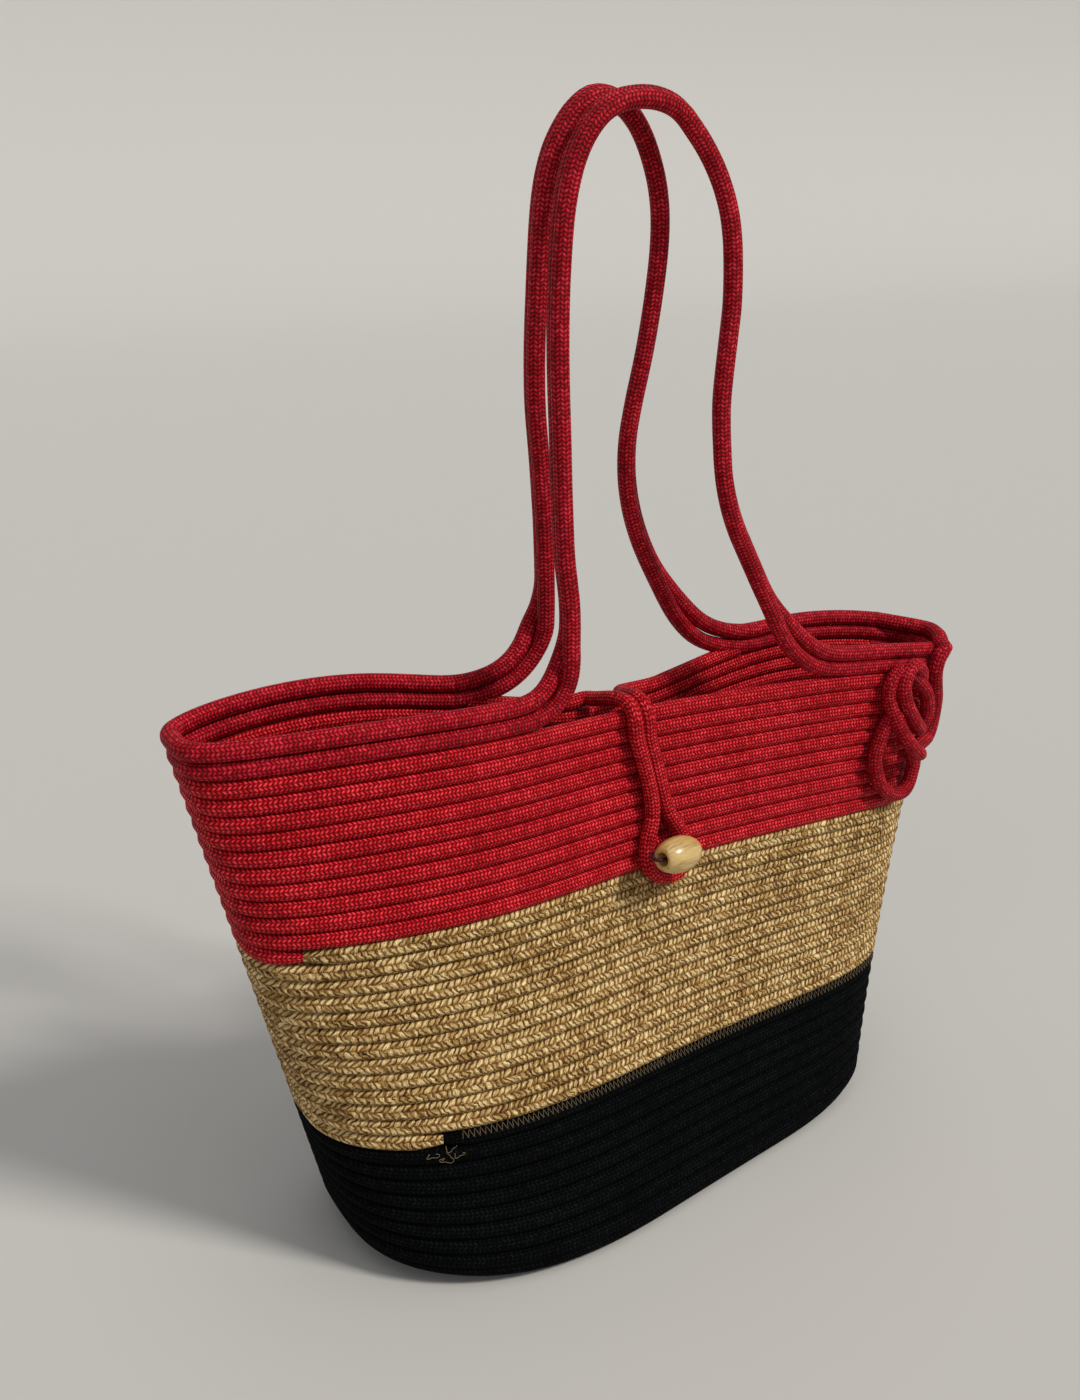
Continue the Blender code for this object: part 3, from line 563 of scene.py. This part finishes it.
def handle_lines(points, left, right, twist):
    """The two ropes of a handle: one over the other at the rim, and side by side above it.
    `twist` is the height at which they start to turn, and the rise in which they do."""
    ends = []
    for roots, sign in ((ROOTS[left], 1), (ROOTS[right], -1)):
        pair = []
        for turn in roots:
            places, out = row_line(turn, turn + sign * 0.004, 0.0017)
            step = (places[0] - places[1]) / np.linalg.norm(places[0] - places[1])
            pair.append((places[0], places[0] + step * 0.003, out[0]))
        ends.append(pair)
    (start_in, start_out), (end_in, end_out) = ends
    middle = smooth_line([(start_in[0] + start_out[0]) / 2, (start_in[1] + start_out[1]) / 2,
                          *points, (end_in[1] + end_out[1]) / 2,
                          (end_in[0] + end_out[0]) / 2], 0.010)
    along = np.gradient(middle, axis=0)
    along /= np.linalg.norm(along, axis=1)[:, None]
    over = np.cross(along, (0, 1, 0))
    over /= np.linalg.norm(over, axis=1)[:, None]
    share = np.clip((middle[:, 2] - twist[0]) / twist[1], 0, 1)[:, None]
    share = share * share * (3 - 2 * share)
    way = over * (1 - share) + (np.array(ROPES_APART) + over * 0.15) * share
    way = way - along * np.sum(way * along, axis=1)[:, None]
    way /= np.linalg.norm(way, axis=1)[:, None]
    lines = []
    for sign, start, end in ((-1, start_in, end_in), (1, start_out, end_out)):
        path = middle + sign * way * HANDLE_ROPE
        path = [start[0], start[1], *path[1:-1], end[1], end[0]]
        path = smooth_line(path, 0.003)
        lines.append((path, carried(path, start[2], end[2])))
    return lines


def off_wall(line, least):
    """The line with each place moved out until it is at least this far off the wall."""
    moved = []
    turns = np.linspace(0, 1, 400, endpoint=False)
    for p in line:
        height = min(max(p[2], 0.01), 0.28)
        for _ in range(3):
            faces = outside(plan_angle(turns), np.full(400, height))
            near = np.argmin(np.linalg.norm(faces - p, axis=1))
            height = min(max(height + p[2] - faces[near, 2], 0.005), 0.30)
        fine = turns[near] + np.linspace(-0.003, 0.003, 21)
        faces = outside(plan_angle(fine), np.full(21, height))
        near = np.argmin(np.linalg.norm(faces - p, axis=1))
        foot, out = wound(fine[near:near + 1], np.array([height]), 0.0)
        moved.append(p + out[0] * max(least - (p - foot[0]).dot(out[0]), 0))
    return np.array(moved)


def place_rope(name, line, out, body, node, finish, slot, radius=HANDLE_ROPE, **more):
    """A rope piece with its finish, the body it rides on and the CAD node it stands in for."""
    made = rope_piece(name, line, out, radius, radius, **more)
    made.data.materials.append(finish)
    if body:
        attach(made, body)
    if node:
        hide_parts(*node.split())
    return made


front = handle_lines(FRONT_HANDLE, "front_left", "front_right", FRONT_TWIST)
rear = handle_lines(REAR_HANDLE, "rear_left", "rear_right", REAR_TWIST)
tail_drop = ((0.2020, 0.0015, 0.2522), (0.2010, -0.0085, 0.2522), (0.1955, -0.0175, 0.2510),
             (0.1890, -0.0226, 0.2460), (0.1868, -0.0238, 0.2385), (0.1885, -0.0232, 0.2302),
             (0.1917, -0.0218, 0.2210), (0.1937, -0.0199, 0.2113), (0.1925, -0.0200, 0.2032),
             (0.1880, -0.0218, 0.1985), (0.1799, -0.0251, 0.1979), (0.1740, -0.0266, 0.1965))
last_row, last_out = row_line(ROOTS["rear_right"][1], 12.50)
tail = smooth_line([last_row[-1], 2 * last_row[-1] - last_row[-2], *tail_drop])
down = tail[:, 2] < 0.250
tail[down] = off_wall(tail[down], WALL_DEEP)
curl_from = np.flatnonzero(tail[:, 2] < 0.2302)[0]
tail_out = carried(tail, last_out[-1])
lower_left, upper_left = zip(ROOTS["front_left"], ROOTS["rear_left"])
run = (
    ("rim_front_right_lower_rope", "rim_front_right_lower",
     *row_line(TOP_OF_WALL, ROOTS["front_right"][0])),
    ("front_handle_inner_strand", "front_handle_inner_rope", front[0][0][::-1], front[0][1][::-1]),
    ("rim_left_lower_rope", "rim_left_lower", *row_line(*lower_left)),
    ("rear_handle_inner_strand", "rear_handle_inner_rope", *rear[0]),
    ("rim_right_wrap_rope", "rim_right_wrap",
     *row_line(ROOTS["rear_right"][0], ROOTS["front_right"][1])),
    ("front_handle_outer_strand", "front_handle_outer_rope", front[1][0][::-1], front[1][1][::-1]),
    ("rim_left_upper_rope", "rim_left_upper", *row_line(*upper_left)),
    ("rear_handle_outer_strand", "rear_handle_outer_rope", *rear[1]),
    ("rim_rear_right_upper_rope", "rim_rear_right_upper", last_row, last_out),
    ("rosette_tail_rope", "rosette_tail", tail[:curl_from + 1], tail_out[:curl_from + 1]),
    ("rosette_right_curl", "rosette_right_petal", tail[curl_from:], tail_out[curl_from:]))
line = np.concatenate([piece[2][:-1] for piece in run] + [tail[-1:]])
out = np.concatenate([piece[3][:-1] for piece in run] + [run[-1][3][-1:]])
cuts = np.concatenate([[0], np.cumsum([len(piece[2]) - 1 for piece in run])])
# Near its roots the whole rope is eased into one even bend before it is cut into pieces.
bend = np.zeros(len(line))
for cut in cuts[1:-3]:
    bend = np.maximum(bend, np.clip(1.6 - np.abs(np.arange(len(line)) - cut) / 9, 0, 1))
for _ in range(ROOT_SMOOTHING):
    moved = (line[:-2] + line[2:]) / 2 - line[1:-1]
    line[1:-1] += 0.5 * bend[1:-1, None] * moved
    turned_out = (out[:-2] + out[2:]) / 2 - out[1:-1]
    out[1:-1] += 0.5 * bend[1:-1, None] * turned_out
spent = np.concatenate([[0], np.cumsum(np.linalg.norm(np.diff(line, axis=0), axis=1))])
along_run = ways_along(line)
for (name, node, *_), first, last in zip(run, cuts, cuts[1:]):
    swings = "handle" in name
    part = slice(first, last + 1)
    made = place_rope(name, line[part], out[part], None if swings else "bag", node,
                      handle_rope, "red_rope", start_at=spent[first], tangent=along_run[part],
                      ends=("flat", "round" if last == cuts[-1] else "flat"))
    if swings:
        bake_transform(made)

# ------------------------------------------------------------------ closing loop
# A rope sewn along the low rear rim from both sides. It crosses the mouth, hangs down the
# front wall as two strands side by side, and its eye passes behind the bead.
LOOP_ROPE = 0.0037
LOOP_SPACING = 0.0022
EYE_TOP = 0.202
LEFT_STRAND = (
    (-0.0110, 0.0142, 0.2487), (-0.0082, 0.0085, 0.2500), (-0.0066, 0.0010, 0.2525),
    (-0.0057, -0.0065, 0.2546), (-0.0052, -0.0125, 0.2550),
    (-0.0050, -0.0168, 0.2532), (-0.0049, -0.0200, 0.2480), (-0.0043, -0.0213, 0.239),
    (-0.0020, -0.0227, 0.2295), (0.0006, -0.0243, 0.2185), (0.0020, -0.0259, 0.209),
    (0.0020, -0.0270, 0.202))
EYE = (
    (0.0008, -0.0281, 0.196), (-0.0022, -0.0297, 0.1895),
    (-0.0036, -0.0314, 0.182), (-0.0028, -0.0327, 0.1762), (0.0015, -0.0333, 0.1715),
    (0.0080, -0.0333, 0.1692), (0.0145, -0.0328, 0.1700), (0.0188, -0.0320, 0.1740),
    (0.0200, -0.0308, 0.1800), (0.0190, -0.0295, 0.1855), (0.0160, -0.0282, 0.1920),
    (0.0128, -0.0272, 0.1975))
RIGHT_STRAND = (
    (0.0106, -0.0266, 0.202), (0.0090, -0.0256, 0.208), (0.0075, -0.0239, 0.217),
    (0.0054, -0.0222, 0.228), (0.0030, -0.0208, 0.238), (0.0024, -0.0198, 0.2480),
    (0.0020, -0.0168, 0.2532), (0.0022, -0.0125, 0.2550), (0.0027, -0.0065, 0.2546),
    (0.0040, 0.0010, 0.2525), (0.0070, 0.0085, 0.2500), (0.0115, 0.0140, 0.2482))

left_rim, left_out = row_line(11.232, 11.284, 0.009)
right_rim, right_out = row_line(11.396, 11.333, 0.009)
whole = smooth_line([*left_rim, *LEFT_STRAND, *EYE, *RIGHT_STRAND, *right_rim[::-1]],
                    LOOP_SPACING)
hanging = (whole[:, 2] < 0.249) & (whole[:, 1] < 0)
whole[hanging] = off_wall(whole[hanging], 0.0039)
whole_out = carried(whole, left_out[0], right_out[0])
along_loop = ways_along(whole)
over_front = np.flatnonzero((whole[:, 1] < -0.0055) & (np.abs(whole[:, 0]) < 0.03))
low = np.flatnonzero((whole[:, 2] < EYE_TOP) & (whole[:, 1] < 0))
cuts = (0, over_front[0], low[0], low[-1], over_front[-1], len(whole) - 1)
loop_pieces = (("loop_left_over_mouth", "loop_bridge_left", ("bag", "loop_bridge")),
               ("loop_left_strand", "loop_tongue_left", ("loop_bridge", "loop_tongue")),
               ("loop_eye_round_bead", "loop_eye", ("loop_tongue",)),
               ("loop_right_strand", "loop_tongue_right", ("loop_bridge", "loop_tongue")),
               ("loop_right_over_mouth", "loop_bridge_right", ("bag", "loop_bridge")))
for (name, node, bodies), first, last in zip(loop_pieces, cuts, cuts[1:]):
    part = slice(first, last + 1)
    made = place_rope(name, whole[part], whole_out[part], bodies[0] if len(bodies) == 1 else None,
                      node, red_rope, "red_rope", LOOP_ROPE, start_at=LOOP_SPACING * first,
                      tangent=along_loop[part])
    if bodies[0] == "bag":
        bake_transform(made)
    elif len(bodies) == 2:
        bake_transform(made)

# ------------------------------------------------------------------ bead and its cord
# A turned wooden barrel with a wide bore, oiled to a soft shine. A thin cord runs through it
# and into the wall, coloured a dark red that is painted shade inside the bore, and the eye of
# the loop catches behind it.
BEAD_CENTRE = Vector((0.0039, -0.0458, 0.1879))
BEAD_AXIS = Vector((0.970, 0.2135, -0.1125)).normalized()
BEAD_HALF = 0.0112
BEAD_END_RADIUS, BEAD_BULGE = 0.0053, 0.0033
BORE_RADIUS = 0.0033
TIE_ROPE = 0.00095
bpy.ops.object.select_all(action="DESELECT")
bpy.ops.mesh.primitive_circle_add(vertices=72, radius=BORE_RADIUS, location=(0, 0, -BEAD_HALF))
bead = bpy.context.object
bead.name = "turned_bead"
bpy.ops.object.transform_apply(location=True)
stations = [(-0.0114, 0.0036), (-0.01150, 0.0042), (-0.01150, 0.0047), (-0.01125, 0.0052)]
for k in range(1, 24):
    share = 2 * k / 24 - 1
    bulge = (math.sqrt(1 - (share * 0.8) ** 2) - 0.6) / 0.4
    stations.append((share * BEAD_HALF, BEAD_END_RADIUS + BEAD_BULGE * bulge))
stations += [(0.01125, 0.0052), (0.01150, 0.0047), (0.01150, 0.0042), (0.0114, 0.0036),
             (BEAD_HALF, BORE_RADIUS), (0.004, 0.00325), (-0.004, 0.00325),
             (-BEAD_HALF, BORE_RADIUS)]
bpy.ops.object.mode_set(mode="EDIT")
bpy.ops.mesh.select_all(action="SELECT")
now_z, now_radius = -BEAD_HALF, BORE_RADIUS
for z, radius in stations:
    bpy.ops.mesh.extrude_region_move(TRANSFORM_OT_translate={"value": (0, 0, z - now_z)})
    bpy.ops.transform.resize(value=(radius / now_radius, radius / now_radius, 1),
                             center_override=(0, 0, z))
    now_z, now_radius = z, radius
bpy.ops.mesh.select_all(action="SELECT")
bpy.ops.mesh.remove_doubles(threshold=1e-5)
bpy.ops.mesh.normals_make_consistent(inside=False)
bpy.ops.object.mode_set(mode="OBJECT")
bpy.ops.object.shade_smooth_by_angle(angle=math.radians(50))
bead_turn = BEAD_AXIS.to_track_quat("Z", "Y")
bead.data.transform(Matrix.Translation(BEAD_CENTRE) @ bead_turn.to_matrix().to_4x4())

bead_wood = bpy.data.materials.new("oiled bead wood")
bead_wood.use_nodes = True
tree = bead_wood.node_tree
shader = tree.nodes["Principled BSDF"]
spot = tree.nodes.new("ShaderNodeTexCoord").outputs["Object"]
turned = tree.nodes.new("ShaderNodeMapping")
turned.vector_type = "TEXTURE"
turned.inputs["Location"].default_value = BEAD_CENTRE
turned.inputs["Rotation"].default_value = bead_turn.to_euler()
tree.links.new(spot, turned.inputs["Vector"])
stretch = tree.nodes.new("ShaderNodeMapping")
stretch.inputs["Scale"].default_value = (1, 1, 0.09)
tree.links.new(turned.outputs[0], stretch.inputs["Vector"])
grain = noise_node(tree, stretch.outputs[0], 900, 4.0, 0.6)
broad = noise_node(tree, stretch.outputs[0], 210, 2.0, 0.5)
mixed = sum_node(tree, "ADD", sum_node(tree, "MULTIPLY", grain, 0.5),
                 sum_node(tree, "MULTIPLY", broad, 0.5))
ramp = tree.nodes.new("ShaderNodeValToRGB")
ramp.color_ramp.elements[0].position = 0.33
ramp.color_ramp.elements[0].color = (0.34, 0.190, 0.050, 1)
ramp.color_ramp.elements[1].position = 0.66
ramp.color_ramp.elements[1].color = (0.74, 0.53, 0.205, 1)
ramp.color_ramp.elements.new(0.48).color = (0.58, 0.385, 0.125, 1)
tree.links.new(mixed, ramp.inputs["Fac"])
tree.links.new(ramp.outputs["Color"], shader.inputs["Base Color"])
bump = tree.nodes.new("ShaderNodeBump")
bump.inputs["Strength"].default_value = 0.25
bump.inputs["Distance"].default_value = 0.0002
tree.links.new(grain, bump.inputs["Height"])
tree.links.new(bump.outputs["Normal"], shader.inputs["Normal"])
shader.inputs["Roughness"].default_value = 0.34
shader.inputs["Coat Weight"].default_value = 0.7
shader.inputs["Coat Roughness"].default_value = 0.10
bead.data.materials.append(bead_wood)
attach(bead, "bead")
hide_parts("wooden_bead")

TIE_CORD = (
    (0.0072, -0.0273, 0.1820), (0.0068, -0.0310, 0.1828), (0.0035, -0.0340, 0.1842),
    (-0.0010, -0.0362, 0.1860), (-0.0058, -0.0386, 0.1872), (-0.0090, -0.0424, 0.1885),
    (-0.0099, -0.0460, 0.1892), (-0.0088, -0.0484, 0.1893), (-0.0060, -0.0480, 0.1890),
    (0.0039, -0.0458, 0.1879), (0.0138, -0.0436, 0.1868), (0.0172, -0.0427, 0.1863),
    (0.0187, -0.0400, 0.1858), (0.0175, -0.0362, 0.1850), (0.0140, -0.0330, 0.1840),
    (0.0112, -0.0305, 0.1830), (0.0106, -0.0272, 0.1822))
# The cord's dark red is painted shade, so that it reads as the dark inside the bead's bore.
tie_cord = braid_finish(
    "dark tie cord", {"Lanes": 4, "Pitch": 0.0012, "Slope": 0.8, "Stagger": 0.5,
                      "Wobble": 0.1, "Streaks": 3.0},
    ((0.1, (0.008, 0.001, 0.002)), (0.9, (0.12, 0.004, 0.011))), 0.00012, 0.7, 0.1, (1, 0.5, 0.5))
line = smooth_line(TIE_CORD, 0.0012)
place_rope("bead_tie_cord_line", line, carried(line, (0, 0, 1)), "bead_tie", "bead_tie_cord",
           tie_cord, "tie_cord", TIE_ROPE, sides=8)

# ------------------------------------------------------------------ rosette
# The end of the rim rope turns down the right end of the bag and is curled over itself into
# a flower of bent lengths, each stitched flat to the wall. The heart is one more curl inside.
CURL_ROPE = 0.0038
CURLS = {
    "lower": ((0.1555, -0.0279, 0.2235), (0.1504, -0.0283, 0.2169), (0.1460, -0.0288, 0.2088),
              (0.1432, -0.0294, 0.1996), (0.1447, -0.0299, 0.1909), (0.1490, -0.0303, 0.1819),
              (0.1573, -0.0299, 0.1755), (0.1666, -0.0286, 0.1735), (0.1724, -0.0272, 0.1766),
              (0.1753, -0.0263, 0.1837), (0.1760, -0.0261, 0.1892), (0.1725, -0.0268, 0.1962)),
    "heart": ((0.1671, -0.0269, 0.2402), (0.1719, -0.0272, 0.2357), (0.1781, -0.0269, 0.2290),
              (0.1815, -0.0262, 0.2208), (0.1820, -0.0256, 0.2142), (0.1800, -0.0250, 0.2075)),
    "middle": ((0.1560, -0.0274, 0.2450), (0.1513, -0.0276, 0.2396), (0.1506, -0.0279, 0.2321),
               (0.1517, -0.0307, 0.2235), (0.1550, -0.0339, 0.2147), (0.1604, -0.0358, 0.2066),
               (0.1665, -0.0356, 0.2005), (0.1712, -0.0340, 0.1972)),
    "upper": ((0.1745, -0.0262, 0.2375), (0.1704, -0.0284, 0.2435), (0.1636, -0.0300, 0.2474),
              (0.1582, -0.0312, 0.2435), (0.1559, -0.0322, 0.2372), (0.1579, -0.0333, 0.2284),
              (0.1640, -0.0332, 0.2191), (0.1722, -0.0310, 0.2105))}
for which, points in CURLS.items():
    line = off_wall(smooth_line(points, LOOP_SPACING), CURL_ROPE)
    node = None if which == "heart" else f"rosette_{which}_petal"
    place_rope(f"rosette_{which}_curl", line, carried(line, (0.5, -1, 0)), "bag", node,
               handle_rope, "red_rope", CURL_ROPE, ends=("round", "round"))

# ------------------------------------------------------------------ stitching
# A thin straw coloured thread zigzags over the top black turn to hold the first jute turn,
# and its loose end curls in a few small loops where the jute begins.
STITCH = 0.0030
STITCH_REACH = 0.0036
STITCH_THREAD, LOOSE_THREAD = 0.00011, 0.00012
PLACES_EACH = 8
stitched = np.arange(FIRST_JUTE + 0.14, FIRST_JUTE + 0.985, STITCH / TURN_LENGTH / PLACES_EACH)
zig = []
for k, turn in enumerate(stitched):
    swing = abs((k / PLACES_EACH) % 1.0 * 2 - 1)
    drop = STITCH_REACH * swing - 0.0006
    into_groove = WALL_DEEP - math.sqrt(max(WALL_DEEP ** 2 - (WALL_DEEP - drop) ** 2, 0.0))
    place_at, _ = wound(np.array([turn]), np.array([ROPE * (RED_ROW + turn) - drop]),
                        min(into_groove, 0.0013) - 0.0001)
    zig.append(place_at[0])
zig = np.array(zig)
thread = bpy.data.materials.new("straw thread")
thread.use_nodes = True
tree = thread.node_tree
shader = tree.nodes["Principled BSDF"]
spot = tree.nodes.new("ShaderNodeTexCoord").outputs["Object"]
ramp = tree.nodes.new("ShaderNodeValToRGB")
ramp.color_ramp.elements[0].color = (0.11, 0.070, 0.030, 1)
ramp.color_ramp.elements[1].color = (0.38, 0.27, 0.14, 1)
tree.links.new(noise_node(tree, spot, 900, 2.0), ramp.inputs["Fac"])
tree.links.new(ramp.outputs["Color"], shader.inputs["Base Color"])
shader.inputs["Roughness"].default_value = 0.7
place_rope("jute_zigzag_stitch", zig, carried(zig, (0, 0, 1)), "bag", None, thread, "jute_rope",
           STITCH_THREAD, sides=4)
start_place, start_out = wound(np.array([FIRST_JUTE]),
                               np.array([ROPE * (RED_ROW + FIRST_JUTE)]), -0.0006)
LOOSE_ENDS = ((-0.006, -0.001, 0.0022, 1.2, 0.2), (0.000, -0.004, 0.0026, 1.4, -0.5),
              (0.0065, -0.0025, 0.0018, 1.1, 0.9), (0.003, 0.002, 0.0020, 0.8, 1.6))
for which, (shift, drop, radius, turns, lean) in enumerate(LOOSE_ENDS):
    bend = np.linspace(0, turns * 2 * math.pi, 40)
    way = np.cross((0, 0, 1), start_out[0])
    grow = radius * (0.4 + 0.6 * bend / bend[-1]) * (1 + 0.35 * np.sin(2.3 * bend + lean))
    curl = (start_place[0] + way * (shift + np.cos(bend + lean) * grow + 0.0005 * bend)[:, None]
            + np.array((0, 0, 1)) * (drop + np.sin(bend + lean) * grow)[:, None]
            + start_out[0] * (0.0012 * np.sin(bend * 0.7) ** 2)[:, None])
    curl = off_wall(curl, 0.0004)
    place_rope(f"loose_thread_{which + 1}", curl, carried(curl, start_out[0]), "bag", None,
               thread, "jute_rope", LOOSE_THREAD, sides=4)
